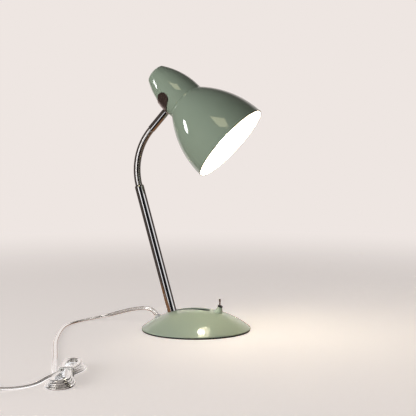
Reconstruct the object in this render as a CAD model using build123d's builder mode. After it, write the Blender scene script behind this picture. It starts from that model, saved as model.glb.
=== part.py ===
"""Gooseneck desk lamp.

A spun shade with a closed rear cap is carried by a chrome saddle on a flexible ribbed neck.
The neck stands on a chrome arm tube, which tilts in a slot of the domed, weighted base.
A toggle switch stands on the base, and a flat clear mains lead leaves the back of it.

Frame: millimetres, origin at the centre of the base's underside, +Z up, +X the way the shade faces.
The arm, the neck and the shade are symmetrical about the plane Y = 0.
"""

import os
from math import asin, atan2, cos, degrees, pi, radians, sin, sqrt, tan

from build123d import *

os.makedirs("parts", exist_ok=True)

# ---------------------------------------------------------------- driving dimensions

# base
base_r = 80.0  # rim of the dome
pad_t = 2.4  # soft pad under the base
pad_inset = 0.4  # the pad stands back from the rim by this
plate_t = 2.0  # steel closing plate
plate_inset = 2.6  # from the dome's inner face at the rim, where the dome curves in
dome_top = 31.4  # height of the dome's crown above the table
dome_lip = 1.0  # straight lip under the dome's curve
dome_wall = 1.2
weight_in = 22.0  # the weight's edge, in from the rim
weight_t = 6.0
stud_in = 13.0  # the dome's weld studs, in from the rim
stud_r = 3.2
stud_bore_len = 4.8
weight_screws_in = 14.0  # the weight's screws, in from its edge
bracket_screws_out = 13.0  # the bracket's screws, each side of the pivot
dome_screw_grip = 4.4  # each kind of screw's length above the plate
weight_screw_grip = 5.0
bracket_screw_grip = 4.2
bracket_len = 36.0
bracket_room = 5.0  # room round the arm's bracket in the weight
bracket_room_w = 30.0
switch_room_len = 26.0  # rooms in the weight for the switch, the block and the cores
switch_room_w = 20.0
block_room = 3.0
lead_room_past = 4.0  # outside the lead's hole
lead_room_w = 18.0
room_corner = 3.0
block_centre = (2.0, -24.0)  # terminal block
block_size = (24.0, 14.0, 11.0)
screw_r = 2.0  # M4 screws
screw_head_r = 3.8

# arm
pivot_x = -33.8  # arm pivot in the base
pivot_z = 13.0
arm_lean = 15.56  # backward lean at rest, degrees
arm_len = 204.0  # pivot to the top of the tube
arm_r = 7.0
arm_wall = 1.2
slot_back = -46.8  # ends of the slot in the dome
slot_front = 21.8
pivot_pin_r = 2.5
lug_r = 6.0
lug_t = 9.0
ear_t = 2.0

# neck
neck_bend_r = 90.0  # radius of the neck's curve at rest
neck_turn = 57.0  # degrees from the arm's direction to the ferrule's
rib_count = 30
rib_minor_r = 1.0
rib_major_r = 4.2
ribs_below = 2  # ribs that belong to the lower coupling
link_ribs = 3  # ribs of each moving link
link_count = 9
ball_r = 3.85
wire_bore_r = 2.2
wide_bore_r = 2.9  # in the coupling and the ferrule
ferrule_r = 6.0
ferrule_len = 35.8  # top of the ribs to the cap's skin

# head, along its axis from the rear
cap_wall = 1.2
cap_apex = -3.0
cap_corner = (1.5, 15.0)
cap_flank = (27.0, 26.0)
cap_belly = (54.0, 30.2)
cap_belly_r = 30.2
cap_corner_fillet = 2.2
seam_at = 62.0  # joint between cap and shade
seam_gap = 0.15
mount_at = 50.0  # where the ferrule meets the cap
shade_mouth_at = 154.2
shade_mouth_r = 63.1
shade_flank = (100.0, 51.7)
shade_crease_at = 65.0
shade_crease_fillet = 4.0
shade_wall = 1.2
shade_flange_t = 1.2

# saddle
saddle_t = 1.2
ear_at = (41.0, -15.0)  # centre of the saddle's round end, beside the cap
ear_r = 9.3
saddle_root = (48.5, -38.0)  # centre of its root, under the cap

# lampholder and bulb
skirt_r = 20.0
holder_r = 18.2
holder_plate_at = 26.0  # rear plate of the holder's bracket
holder_floor_t = 8.0
holder_front = 74.0
holder_shoulder_r = 23.0
holder_shoulder_t = 3.0
shell_r = 14.1
shell_t = 0.5
nipple_r = 5.0
nipple_bore_r = 3.4
bracket_t = 1.5
bracket_w = 14.0
strap_depth = 3.0  # outer face of the bracket's strap, under the cap's skin
strap_bend_at = 42.0
strap_end = 58.0
plate_end = 11.0
lead_clear = 0.9  # the cores' middle, under the lampholder
bulb_cap_r = 13.2
bulb_cap_rear = 47.5
bulb_neck_r = 12.2
bulb_r = 27.5
bulb_tip = 147.0
bulb_glass_t = 0.8
ring_r = 27.0  # flange of the shade's ring
ring_collar_r = 23.6
ring_flange_t = 2.2
ring_bevel = 1.2
ring_len = 7.0

# switch
switch_x = 34.2
collar_base_r = 6.0
collar_top_r = 3.2
collar_h = 8.8
bushing_r = 2.5
bushing_bore_r = 2.0
lever_ball_r = 1.8
lever_root_r = 0.9
lever_tip_r = 1.4
lever_out = 9.8  # lever above the switch nut

# lead
cord_r = 2.0
grommet_in = 20.0  # the lead's hole, in from the rim
grommet_neck_r = 3.7
grommet_inner_r = 5.2
grommet_flange_r = 5.4
grommet_inner_t = 1.7
grommet_snout_r = 3.4
grommet_snout = 2.6
cord_inner_end = 4.0  # the lead ends this far inside the dome
hank_centre = (-47.0, -349.0)
hank_heading = -75.0  # direction of the hank's length, degrees from +X
hank_len = 134.0
hank_lobe_w = 36.0
hank_waist_w = 16.0
hank_h = 11.0
hank_waist_fillet = 14.0
hank_edge_fillet = 2.5
tie_t = 1.0
tie_w = 4.0
tie_corner = 2.4
plug_w = 35.0
plug_h = 13.6
plug_len = 26.0
plug_neck_w = 9.0
plug_neck_h = 7.0
plug_waist_w = 17.0
plug_waist_h = 10.5
plug_corner = 6.0
pin_depth = 5.0  # of the pins in the plug
pin_end_fillet = 1.2
pin_r = 2.0
pin_len = 19.0
pin_spacing = 18.6

# fits
gap = 0.1  # between parts that are fastened together
running = 0.05  # radial clearance of the pivot
socket_gap = 0.25  # around each ball of the neck
slot_gap = 0.75  # each side of the arm in its slot
lip_gap = 0.3  # between the lead's bush and the domed sheet

# ---------------------------------------------------------------- worked-out places

lip_top = pad_t + dome_lip
dome_rise = dome_top - lip_top
dome_r = (base_r**2 + dome_rise**2) / (2 * dome_rise)
dome_centre_z = dome_top - dome_r
plate_top = pad_t + plate_t
pad_r = base_r - pad_inset
plate_r = base_r - dome_wall - plate_inset
weight_r = base_r - weight_in
stud_pcd_r = base_r - stud_in
grommet_x = -(base_r - grommet_in)
bracket_screw_x = (pivot_x - bracket_screws_out, pivot_x + bracket_screws_out)


def on_dome(x, depth=0.0):
    """Plane on the dome's surface at x, Z along the outward normal, sunk by depth."""
    lean = asin(x / dome_r)
    r = dome_r - depth
    return Plane(
        origin=(r * sin(lean), 0, dome_centre_z + r * cos(lean)),
        x_dir=(cos(lean), 0, -sin(lean)),
        z_dir=(sin(lean), 0, cos(lean)),
    )


def on_arm(s):
    """Plane across the arm at s from the pivot, Z up the arm."""
    lean = radians(arm_lean)
    return Plane(
        origin=(pivot_x - s * sin(lean), 0, pivot_z + s * cos(lean)),
        x_dir=(cos(lean), 0, sin(lean)),
        z_dir=(-sin(lean), 0, cos(lean)),
    )


neck_len = neck_bend_r * radians(neck_turn)
rib_pitch = neck_len / rib_count
arm_top = on_arm(arm_len)
bend_centre = arm_top.origin + arm_top.x_dir * neck_bend_r
bend_axis = Axis(bend_centre, (0, 1, 0))


def on_neck(s):
    """Plane across the neck at s from the top of the arm, Z along the neck."""
    heading = radians(-arm_lean) + s / neck_bend_r
    return Plane(
        origin=bend_centre - Vector(cos(heading), 0, -sin(heading)) * neck_bend_r,
        x_dir=(cos(heading), 0, -sin(heading)),
        z_dir=(sin(heading), 0, cos(heading)),
    )


neck_top = on_neck(neck_len)
up_dir = neck_top.z_dir  # from the saddle to the head's axis
axis_dir = neck_top.x_dir  # from the rear of the head to its mouth
head_rear = neck_top.origin + up_dir * (ferrule_len + cap_belly_r) - axis_dir * mount_at
head_side = Plane(origin=head_rear, x_dir=axis_dir, z_dir=(0, -1, 0))
head_axis = Axis(head_rear, axis_dir)


def on_head(u):
    """Plane across the head's axis at u from the rear, Z towards the mouth."""
    return Plane(origin=head_rear + axis_dir * u, x_dir=(0, -1, 0), z_dir=axis_dir)


def at_mount(r):
    """Plane across the ferrule's line, r below the head's axis, Z towards the axis."""
    origin = head_rear + axis_dir * mount_at - up_dir * r
    return Plane(origin=origin, x_dir=axis_dir, z_dir=up_dir)


joint_s = [rib_pitch * (ribs_below + link_ribs * k) for k in range(link_count + 1)]


def save(builder, label):
    """Label the finished piece and write it to its own file."""
    builder.part.label = label
    export_step(builder.part, f"parts/{label}.step")
    return builder.part


def washer(plane, outer, inner, thickness):
    """A flat ring standing on the plane."""
    with BuildPart() as ring:
        with BuildSketch(plane):
            Circle(outer)
            Circle(inner, mode=Mode.SUBTRACT)
        extrude(amount=thickness)
    return ring


def hex_nut(plane, across_flats, bore, height):
    """A hexagon nut standing on the plane, with its corners broken."""
    with BuildPart() as nut:
        with BuildSketch(plane):
            RegularPolygon(across_flats / 2, 6, major_radius=False)
        extrude(amount=height)
        with BuildSketch(plane):
            Circle(across_flats / 2 * 1.1)
        extrude(amount=height, mode=Mode.INTERSECT)
        with BuildSketch(plane):
            Circle(bore)
        extrude(amount=height, mode=Mode.SUBTRACT)
    return nut


# ---------------------------------------------------------------- base: pad, plate, weight

with BuildPart() as base_pad:
    Cylinder(pad_r, pad_t, align=(Align.CENTER, Align.CENTER, Align.MIN))
    fillet(base_pad.faces().sort_by(Axis.Z)[0].edges(), 0.5)
save(base_pad, "base_pad")

stud_spots = PolarLocations(stud_pcd_r, 3, start_angle=60)
weight_screw_spots = PolarLocations(weight_r - weight_screws_in, 3, start_angle=30)
bracket_screw_spots = Locations(*[(x, 0) for x in bracket_screw_x])

with BuildPart() as base_plate:
    with BuildSketch(Plane.XY.offset(pad_t)):
        Circle(plate_r)
    extrude(amount=plate_t)
    with BuildSketch(Plane.XY.offset(pad_t)):
        with stud_spots:
            Circle(screw_r + gap)
        with weight_screw_spots:
            Circle(screw_r + gap)
        with bracket_screw_spots:
            Circle(screw_r + gap)
    extrude(amount=plate_t, mode=Mode.SUBTRACT)
    countersink_depth = plate_t * 0.8
    with BuildSketch(Plane.XY.offset(pad_t)):
        with stud_spots:
            Circle(screw_head_r + gap)
        with weight_screw_spots:
            Circle(screw_head_r + gap)
        with bracket_screw_spots:
            Circle(screw_head_r + gap)
    extrude(amount=countersink_depth, taper=45, mode=Mode.SUBTRACT)
save(base_plate, "base_plate")


def flat_screws(spots, length):
    """Countersunk screws that stand in the plate from below, on the given places."""
    with BuildPart() as screws:
        with BuildSketch(Plane.XY.offset(pad_t + gap)):
            with spots:
                Circle(screw_head_r - gap)
        extrude(amount=countersink_depth - gap, taper=45)
        with BuildSketch(Plane.XY.offset(pad_t + gap)):
            with spots:
                Circle(screw_r)
        extrude(amount=length)
        with BuildSketch(Plane.XY.offset(pad_t + gap)):
            with spots:
                Rectangle(screw_head_r * 1.2, 0.8)
                Rectangle(0.8, screw_head_r * 1.2)
        extrude(amount=0.7, mode=Mode.SUBTRACT)
    return screws


save(flat_screws(stud_spots, plate_t + dome_screw_grip), "dome_screws")
save(flat_screws(weight_screw_spots, plate_t + weight_screw_grip), "weight_screws")
save(flat_screws(bracket_screw_spots, plate_t + bracket_screw_grip), "bracket_screws")

with BuildPart() as base_weight:
    with BuildSketch(Plane.XY.offset(plate_top)):
        Circle(weight_r)
        pocket_len = bracket_len + 2 * bracket_room
        pocket_start = pivot_x + 2 - pocket_len / 2
        with Locations((pivot_x + 2, 0)):  # room for the arm's bracket
            RectangleRounded(pocket_len, bracket_room_w, room_corner, mode=Mode.SUBTRACT)
        with Locations((switch_x - 1, 0)):  # room for the switch
            RectangleRounded(switch_room_len, switch_room_w, room_corner, mode=Mode.SUBTRACT)
        with Locations(block_centre):  # room for the terminal block
            pocket_size = (block_size[0] + 2 * block_room, block_size[1] + 2 * block_room)
            RectangleRounded(*pocket_size, room_corner, mode=Mode.SUBTRACT)
        lead_room = (grommet_x - lead_room_past, pocket_start + room_corner)
        with Locations((sum(lead_room) / 2, 0)):  # room for the lead's cores
            Rectangle(lead_room[1] - lead_room[0], lead_room_w, mode=Mode.SUBTRACT)
    extrude(amount=weight_t)
    with BuildSketch(Plane.XY.offset(plate_top)):
        with weight_screw_spots:
            Circle(screw_r + gap)
    extrude(amount=weight_t, mode=Mode.SUBTRACT)
    chamfer(base_weight.edges().filter_by(GeomType.CIRCLE).sort_by(SortBy.LENGTH)[-2:], 0.8)
save(base_weight, "base_weight")

# ---------------------------------------------------------------- base: dome

slot_half = arm_r + slot_gap

with BuildPart() as base_dome:
    with BuildSketch(Plane.XZ):
        with BuildLine():
            crown = (0, dome_top)
            rim = (base_r, lip_top)
            half = asin(base_r / dome_r) / 2
            shoulder = (dome_r * sin(half), dome_centre_z + dome_r * cos(half))
            ThreePointArc(crown, shoulder, rim)
            Line(rim, (base_r, pad_t))
            Line((base_r, pad_t), (base_r - dome_wall, pad_t))
            inner_r = dome_r - dome_wall
            inner_rim_z = dome_centre_z + sqrt(inner_r**2 - (base_r - dome_wall) ** 2)
            Line((base_r - dome_wall, pad_t), (base_r - dome_wall, inner_rim_z))
            ThreePointArc(
                (base_r - dome_wall, inner_rim_z),
                (inner_r * sin(half), dome_centre_z + inner_r * cos(half)),
                (0, dome_top - dome_wall),
            )
            Line((0, dome_top - dome_wall), crown)
        make_face()
    revolve(axis=Axis.Z)
    fillet(base_dome.edges().filter_by_position(Axis.Z, lip_top - 0.01, lip_top + 0.01), 0.8)
    # weld studs for the plate's screws
    with BuildSketch(Plane.XY.offset(plate_top)):
        with stud_spots:
            Circle(stud_r)
    extrude(until=Until.NEXT)
    with BuildSketch(Plane.XY.offset(plate_top)):
        with stud_spots:
            Circle(screw_r + running)
    extrude(amount=stud_bore_len, mode=Mode.SUBTRACT)
    # slot for the arm
    with BuildSketch(Plane.XY.offset(dome_top)):
        with Locations(((slot_back + slot_front) / 2, 0)):
            SlotOverall(slot_front - slot_back, 2 * slot_half)
    extrude(amount=-15, mode=Mode.SUBTRACT)
    # holes for the switch and the lead
    with BuildSketch(on_dome(switch_x, depth=3)):
        Circle(bushing_r + gap)
    extrude(amount=6, mode=Mode.SUBTRACT)
    with BuildSketch(on_dome(grommet_x, depth=3)):
        Circle(grommet_neck_r + gap)
    extrude(amount=6, mode=Mode.SUBTRACT)
save(base_dome, "base_dome")

# ---------------------------------------------------------------- base: arm pivot

washer_t = 0.45
washer_gap = 0.05
ear_inner = lug_t / 2 + washer_t + 2 * washer_gap
ear_outer = ear_inner + ear_t
bracket_floor = 1.8
pivot_line = Plane(origin=(pivot_x, 0, pivot_z), x_dir=(1, 0, 0), z_dir=(0, -1, 0))

with BuildPart() as pivot_bracket:
    with BuildSketch(Plane.XY.offset(plate_top)):
        with Locations((pivot_x, 0)):
            RectangleRounded(bracket_len, 2 * ear_outer, room_corner)
        with bracket_screw_spots:
            Circle(screw_r + gap, mode=Mode.SUBTRACT)
    extrude(amount=bracket_floor)
    for side in (-1, 1):
        with BuildSketch(pivot_line.offset(side * (ear_inner + ear_t / 2))):
            Circle(lug_r + 0.5)
            with Locations((0, -(pivot_z - plate_top) / 2)):
                Rectangle(2 * lug_r + 1, pivot_z - plate_top)
        extrude(amount=ear_t / 2, both=True)
    with BuildSketch(pivot_line):
        Circle(pivot_pin_r + running)
    extrude(amount=ear_outer, both=True, mode=Mode.SUBTRACT)
save(pivot_bracket, "pivot_bracket")

with BuildPart() as pivot_washers:
    for side in (-1, 1):
        with BuildSketch(pivot_line.offset(side * (lug_t / 2 + washer_gap + washer_t / 2))):
            Circle(lug_r - 0.2)
            Circle(pivot_pin_r + running, mode=Mode.SUBTRACT)
        extrude(amount=washer_t / 2, both=True)
save(pivot_washers, "pivot_washers")

bolt_head_h = 3.2
nut_h = 3.6
with BuildPart() as pivot_bolt:
    with BuildSketch(pivot_line.offset(ear_outer + gap)):
        RegularPolygon(4.0, 6, major_radius=False)
    extrude(amount=bolt_head_h)
    with BuildSketch(pivot_line.offset(ear_outer + gap)):
        Circle(pivot_pin_r)
    extrude(amount=-(2 * ear_outer + nut_h + 1.4))
save(pivot_bolt, "pivot_bolt")

nut_face = Plane(origin=(pivot_x, ear_outer + gap, pivot_z), x_dir=(1, 0, 0), z_dir=(0, 1, 0))
save(hex_nut(nut_face, 8.0, pivot_pin_r + running, nut_h), "pivot_nut")

# ---------------------------------------------------------------- base: switch

switch_seat = on_dome(switch_x)
bushing_top = collar_h + 2.2
lever_pivot_h = bushing_top - 3.0
switch_body_top = -(dome_wall + gap)
switch_body_h = 8.5

with BuildPart() as switch_collar:
    with BuildSketch(Plane(origin=switch_seat.origin, x_dir=switch_seat.x_dir, z_dir=(0, -1, 0))):
        with BuildLine():
            Polyline(
                (bushing_r + gap, -1.0),
                (collar_base_r, -1.0),
                (collar_base_r, collar_h * 0.28),
                (collar_base_r * 0.86, collar_h * 0.42),
                (collar_top_r, collar_h),
                (bushing_r + gap, collar_h),
                close=True,
            )
        make_face()
    revolve(axis=Axis(switch_seat.origin, switch_seat.z_dir))
    fillet(switch_collar.edges().filter_by(GeomType.CIRCLE).sort_by(SortBy.RADIUS)[-3:-1], 0.7)
    with Locations((0, 0, dome_centre_z)):
        Sphere(dome_r + gap / 2, mode=Mode.SUBTRACT)
save(switch_collar, "switch_collar")

with BuildPart() as switch_bushing:
    with BuildSketch(switch_seat.offset(switch_body_top)):
        Circle(bushing_r)
        Circle(bushing_bore_r, mode=Mode.SUBTRACT)
    extrude(amount=bushing_top - switch_body_top)
save(switch_bushing, "switch_bushing")

switch_nut = hex_nut(switch_seat.offset(collar_h + gap), 7.0, bushing_r + running, 2.2)
save(switch_nut, "switch_nut")

with BuildPart() as switch_body:
    with BuildSketch(switch_seat.offset(switch_body_top - gap)):
        RectangleRounded(12.6, 8.0, 0.8)
    extrude(amount=-switch_body_h)
    with BuildSketch(switch_seat.offset(switch_body_top - gap)):
        Circle(bushing_bore_r + 0.4)
    extrude(amount=-2.4, mode=Mode.SUBTRACT)
save(switch_body, "switch_body")

with BuildPart() as switch_terminals:
    with BuildSketch(switch_seat.offset(switch_body_top - gap - switch_body_h)):
        with GridLocations(4.4, 1, 3, 1):
            Rectangle(0.8, 2.2)
    extrude(amount=-3.6)
save(switch_terminals, "switch_terminals")

lever_base = switch_seat.offset(lever_pivot_h)
lever_side = Plane(origin=lever_base.origin, x_dir=(1, 0, 0), z_dir=(0, -1, 0))
lever_len = (bushing_top - lever_pivot_h) + lever_out
with BuildPart() as switch_lever:
    with BuildSketch(lever_side):
        with BuildLine():
            Polyline(
                (0, 0),
                (0, lever_len),
                (lever_tip_r * 0.6, lever_len),
                (lever_tip_r, lever_len - 0.8),
                (lever_root_r, 2.4),
                (lever_root_r, 0),
                close=True,
            )
        make_face()
    revolve(axis=Axis(lever_base.origin, (0, 0, 1)))
    with Locations(lever_base):
        Sphere(lever_ball_r)
save(switch_lever, "switch_lever")

# ---------------------------------------------------------------- base: wiring

with BuildPart() as terminal_block:
    with BuildSketch(Plane.XY.offset(plate_top)):
        with Locations(block_centre):
            RectangleRounded(block_size[0], block_size[1], 1.5)
    extrude(amount=block_size[2])
    with BuildSketch(Plane.XY.offset(plate_top + block_size[2])):
        with Locations(block_centre):
            with GridLocations(10, 1, 2, 1):
                Circle(2.6)
    extrude(amount=-5, mode=Mode.SUBTRACT)
save(terminal_block, "terminal_block")

with BuildPart() as block_screws:
    with BuildSketch(Plane.XY.offset(plate_top + block_size[2] - 5)):
        with Locations(block_centre):
            with GridLocations(10, 1, 2, 1):
                Circle(2.3)
    extrude(amount=3.6)
    with BuildSketch(Plane.XY.offset(plate_top + block_size[2] - 1.4)):
        with Locations(block_centre):
            with GridLocations(10, 1, 2, 1):
                Rectangle(4.0, 0.7)
    extrude(amount=-0.8, mode=Mode.SUBTRACT)
save(block_screws, "block_screws")

# ---------------------------------------------------------------- arm

knuckle_plug_r = arm_r - arm_wall - gap / 2
tube_foot = lug_r + 1.6  # start of the tube above the pivot
knuckle_plug_len = 22.0
with BuildPart() as arm_knuckle:
    with BuildSketch(on_arm(tube_foot - 1)):
        Circle(knuckle_plug_r)
    extrude(amount=knuckle_plug_len + 1)
    lug_face = Plane(origin=(pivot_x, 0, pivot_z), x_dir=on_arm(0).x_dir, z_dir=(0, -1, 0))
    with BuildSketch(lug_face):
        Circle(lug_r)
        with Locations((0, (tube_foot - gap) / 2)):
            Rectangle(2 * lug_r * 0.86, tube_foot - gap)
    extrude(amount=lug_t / 2, both=True)
    with BuildSketch(lug_face):
        Circle(pivot_pin_r + running)
    extrude(amount=lug_t, both=True, mode=Mode.SUBTRACT)
    with BuildSketch(on_arm(tube_foot)):  # channel for the wires
        with Locations((-knuckle_plug_r, 0)):
            SlotOverall(6.4, 3.2)
    extrude(amount=knuckle_plug_len, mode=Mode.SUBTRACT)
save(arm_knuckle, "arm_knuckle")

with BuildPart() as arm_tube:
    with BuildSketch(on_arm(tube_foot)):
        Circle(arm_r)
        Circle(arm_r - arm_wall, mode=Mode.SUBTRACT)
    extrude(amount=arm_len - tube_foot)
    fillet(arm_tube.edges().filter_by(GeomType.CIRCLE).sort_by(SortBy.RADIUS)[-2:], 0.4)
save(arm_tube, "arm_tube")

# ---------------------------------------------------------------- neck


def ribbed_stretch(first_rib, ribs, ends_in_ball):
    """A curved, ribbed stretch of the neck, from the socket below its first rib."""
    low = rib_pitch * first_rib
    high = rib_pitch * (first_rib + ribs)
    core_low = low + rib_pitch / 2 - 0.3
    core_high = high - rib_pitch / 2 + 0.3
    with BuildPart() as stretch:
        with BuildSketch(on_neck(core_low)):
            Circle(rib_major_r)
        revolve(axis=bend_axis, revolution_arc=degrees((core_high - core_low) / neck_bend_r))
        for k in range(first_rib, first_rib + ribs):
            with Locations(on_neck(rib_pitch * (k + 0.5))):
                Torus(rib_major_r, rib_minor_r)
        if first_rib > 0:
            with Locations(on_neck(low)):
                Sphere(ball_r + socket_gap, mode=Mode.SUBTRACT)
        if ends_in_ball:
            with Locations(on_neck(high)):
                Sphere(ball_r)
        bore_low = low - 2.0
        bore_high = high + ball_r + 1.0
        with BuildSketch(on_neck(bore_low)):
            Circle(wire_bore_r)
        revolve(
            axis=bend_axis,
            revolution_arc=degrees((bore_high - bore_low) / neck_bend_r),
            mode=Mode.SUBTRACT,
        )
    return stretch


coupling_plug_len = 18.0
with BuildPart() as neck_coupling:
    with BuildSketch(on_arm(arm_len - coupling_plug_len)):
        Circle(arm_r - arm_wall - gap / 2)
    extrude(amount=coupling_plug_len + gap)
    with BuildSketch(on_arm(arm_len + gap)):
        Circle(arm_r - 0.4)
    extrude(amount=0.6, taper=30)
    with BuildSketch(on_arm(arm_len)):
        Circle(rib_major_r - 0.6)
    extrude(amount=rib_pitch * 0.6)
    add(ribbed_stretch(0, ribs_below, True).part)
    with BuildSketch(on_arm(arm_len - coupling_plug_len)):
        Circle(wide_bore_r)
    extrude(amount=coupling_plug_len - 0.5, mode=Mode.SUBTRACT)
save(neck_coupling, "neck_coupling")

for k in range(link_count):
    link = ribbed_stretch(ribs_below + link_ribs * k, link_ribs, True)
    save(link, f"neck_link_{k + 1}")

# ---------------------------------------------------------------- ferrule, saddle and nipple

cap_skin_r = cap_belly_r + gap
saddle_skin_r = cap_skin_r + saddle_t
ferrule_bore_len = 10.0

with BuildPart() as neck_ferrule:
    with BuildSketch(neck_top):
        Circle(ferrule_r)
    extrude(amount=ferrule_len)
    chamfer(neck_ferrule.edges().filter_by(GeomType.CIRCLE).sort_by(Axis.Z)[0], 0.7)
    add(ribbed_stretch(rib_count - 1, 1, False).part)
    with BuildSketch(neck_top):
        Circle(rib_major_r - 0.6)
    extrude(amount=-rib_pitch * 0.6)
    with Locations(on_neck(neck_len - rib_pitch)):
        Sphere(ball_r + socket_gap, mode=Mode.SUBTRACT)
    with BuildSketch(on_head(mount_at - 20)):
        Circle(saddle_skin_r + gap / 2)
    extrude(amount=40, mode=Mode.SUBTRACT)
    with BuildSketch(neck_top.offset(1.5)):
        Circle(wide_bore_r)
    extrude(amount=ferrule_len, mode=Mode.SUBTRACT)
    with BuildSketch(neck_top.offset(ferrule_len - saddle_t - ferrule_bore_len)):
        Circle(nipple_r + running)
    extrude(amount=ferrule_bore_len + 4, mode=Mode.SUBTRACT)
save(neck_ferrule, "neck_ferrule")

strap_face = cap_belly_r - strap_depth
strap_rear_face = cap_flank[1] - strap_depth
washer_seat = strap_face - bracket_t - gap
nipple_end = washer_seat - 5.2

with BuildPart() as nipple:
    with BuildSketch(at_mount(cap_belly_r + saddle_t + ferrule_bore_len - 0.5)):
        Circle(nipple_r)
        Circle(nipple_bore_r, mode=Mode.SUBTRACT)
    extrude(amount=cap_belly_r + saddle_t + ferrule_bore_len - 0.5 - nipple_end)
save(nipple, "nipple")

save(washer(at_mount(washer_seat), 6.9, nipple_r + running, 1.0), "nipple_washer")
save(hex_nut(at_mount(washer_seat - 1.0 - gap), 14.0, nipple_r + running, 3.0), "nipple_nut")

# ---------------------------------------------------------------- head: rear cap


with BuildPart() as cap_form:  # the cap's outer form, the base of both cap and saddle
    with BuildSketch(head_side):
        with BuildLine():
            cap_end_rise = cap_corner[0] - cap_apex
            cap_end_r = (cap_corner[1] ** 2 + cap_end_rise**2) / (2 * cap_end_rise)
            cap_end_half = asin(cap_corner[1] / cap_end_r) / 2
            cap_end_mid = (cap_apex + cap_end_r * (1 - cos(cap_end_half)), cap_end_r * sin(cap_end_half))
            ThreePointArc((cap_apex, 0), cap_end_mid, cap_corner)
            ThreePointArc(cap_corner, cap_flank, cap_belly)
            Line(cap_belly, (seam_at, cap_belly_r))
            Line((seam_at, cap_belly_r), (seam_at, 0))
            Line((seam_at, 0), (cap_apex, 0))
        make_face()
    revolve(axis=head_axis)
    corner_edge = cap_form.edges().filter_by(GeomType.CIRCLE).filter_by(
        lambda e: abs(e.radius - cap_corner[1]) < 0.1
    )
    fillet(corner_edge, cap_corner_fillet)

with BuildPart() as rear_cap:
    add(cap_form.part)
    add(offset(cap_form.part, amount=-cap_wall, mode=Mode.PRIVATE), mode=Mode.SUBTRACT)
    with BuildSketch(on_head(seam_at)):
        Circle(cap_belly_r - cap_wall)
    extrude(amount=-cap_wall - 1, mode=Mode.SUBTRACT)
    with BuildSketch(at_mount(cap_belly_r + 4)):
        Circle(nipple_r + gap)
    extrude(amount=10, mode=Mode.SUBTRACT)
save(rear_cap, "rear_cap")

with BuildPart() as saddle:
    add(cap_form.part)
    offset(amount=gap + saddle_t)
    add(offset(cap_form.part, amount=gap, mode=Mode.PRIVATE), mode=Mode.SUBTRACT)
    with BuildSketch(head_side):
        root_dx = saddle_root[0] - ear_at[0]
        root_dy = saddle_root[1] - ear_at[1]
        with Locations(((ear_at[0] + saddle_root[0]) / 2, (ear_at[1] + saddle_root[1]) / 2)):
            SlotCenterToCenter(
                sqrt(root_dx**2 + root_dy**2), 2 * ear_r, rotation=degrees(atan2(root_dy, root_dx))
            )
    extrude(amount=cap_belly_r + 6, both=True, mode=Mode.INTERSECT)
    with BuildSketch(at_mount(cap_belly_r + 6)):
        Circle(nipple_r + gap)
    extrude(amount=12, mode=Mode.SUBTRACT)
save(saddle, "saddle")

# ---------------------------------------------------------------- head: shade

flange_hole_r = skirt_r + 0.3
with BuildPart() as shade:
    with BuildSketch(head_side):
        with BuildLine():
            start = (seam_at + seam_gap, cap_belly_r)
            crease = (shade_crease_at, cap_belly_r)
            mouth = (shade_mouth_at, shade_mouth_r)
            Line(start, crease)
            ThreePointArc(crease, shade_flank, mouth)
            Line(mouth, (shade_mouth_at, 0))
            Line((shade_mouth_at, 0), (seam_at + seam_gap, 0))
            Line((seam_at + seam_gap, 0), start)
        make_face()
    revolve(axis=head_axis)
    crease_edge = shade.edges().filter_by(GeomType.CIRCLE).filter_by(
        lambda e: abs((e.arc_center - head_rear).dot(axis_dir) - shade_crease_at) < 0.1
    )
    fillet(crease_edge, shade_crease_fillet)
    mouth_face = shade.faces().filter_by(GeomType.PLANE).sort_by(SortBy.AREA)[-1]
    offset(amount=-shade_wall, openings=mouth_face)
    with BuildSketch(on_head(seam_at)):
        Circle(flange_hole_r)
    extrude(amount=4, mode=Mode.SUBTRACT)
save(shade, "shade")

# ---------------------------------------------------------------- head: lampholder

with BuildPart() as holder_bracket:
    with BuildSketch(head_side):
        with BuildLine():
            plate_front = holder_plate_at + bracket_t
            Polyline(
                (holder_plate_at, plate_end),
                (holder_plate_at, -strap_rear_face),
                (strap_bend_at, -strap_face),
                (strap_end, -strap_face),
                (strap_end, -strap_face + bracket_t),
                (strap_bend_at + 0.2, -strap_face + bracket_t),
                (plate_front, -strap_rear_face + bracket_t - 0.3),
                (plate_front, plate_end),
                close=True,
            )
        make_face()
    extrude(amount=bracket_w / 2, both=True)
    with BuildSketch(on_head(holder_plate_at - 1)):
        Circle(nipple_r + gap)
    extrude(amount=4, mode=Mode.SUBTRACT)
    with BuildSketch(at_mount(strap_face + 1)):
        Circle(nipple_r + gap)
    extrude(amount=4, mode=Mode.SUBTRACT)
save(holder_bracket, "holder_bracket")

holder_rear = plate_front + gap
flange_rear = seam_at + seam_gap
shoulder_front = flange_rear - gap
shell_bore_r = shell_r + 0.2
with BuildPart() as holder_body:
    with BuildSketch(head_side):
        with BuildLine():
            Polyline(
                (holder_rear, nipple_r + running),
                (holder_rear, holder_r),
                (shoulder_front - holder_shoulder_t, holder_r),
                (shoulder_front - holder_shoulder_t, holder_shoulder_r),
                (shoulder_front, holder_shoulder_r),
                (shoulder_front, skirt_r),
                (holder_front, skirt_r),
                (holder_front, shell_bore_r),
                (holder_rear + holder_floor_t, shell_bore_r),
                (holder_rear + holder_floor_t, nipple_r + running),
                close=True,
            )
        make_face()
    revolve(axis=head_axis)
save(holder_body, "holder_body")

with BuildPart() as holder_nipple:
    with BuildSketch(on_head(holder_plate_at - 3.6)):
        Circle(nipple_r)
        Circle(nipple_bore_r, mode=Mode.SUBTRACT)
    extrude(amount=bracket_t + 3.6 + gap + holder_floor_t - 1)
save(holder_nipple, "holder_nipple")
save(hex_nut(on_head(holder_plate_at - 3.0 - gap), 14.0, nipple_r + running, 3.0), "holder_nut")

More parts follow.
